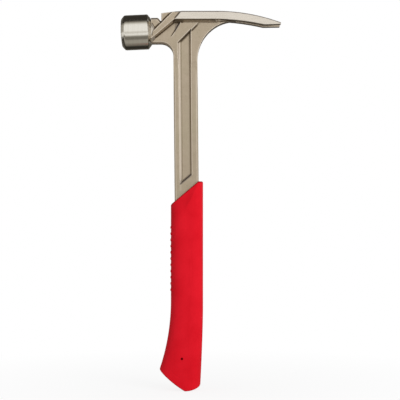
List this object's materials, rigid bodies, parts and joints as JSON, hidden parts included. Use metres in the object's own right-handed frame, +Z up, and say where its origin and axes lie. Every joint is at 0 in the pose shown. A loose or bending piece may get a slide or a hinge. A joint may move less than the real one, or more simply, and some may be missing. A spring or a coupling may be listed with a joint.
{
  "type": "framing hammer",
  "caption": "One-piece forged framing hammer with a milled poll, nail-starter notch, straight rip claw, fullered shank and a moulded grip with a flared butt.",
  "frame": {"origin": "under the middle of the hammer's box, level with the lowest point of the butt", "axes": "+Z runs up the handle from butt to head, -X points to the striking face and +X to the claw, Y runs across the two sides"},
  "size_m": [0.1718, 0.0376, 0.4063],
  "materials": {
    "steel": "blasted forging with a ground claw band and a bright turned poll",
    "magnet": "bright plated",
    "core": "hard moulded, unpainted",
    "grip": "soft moulded, satin"
  },
  "bodies": {
    "root": {"steel_forging": "steel", "nail_magnet": "magnet", "grip_core": "core", "grip_sleeve": "grip"}
  },
  "joints": []
}
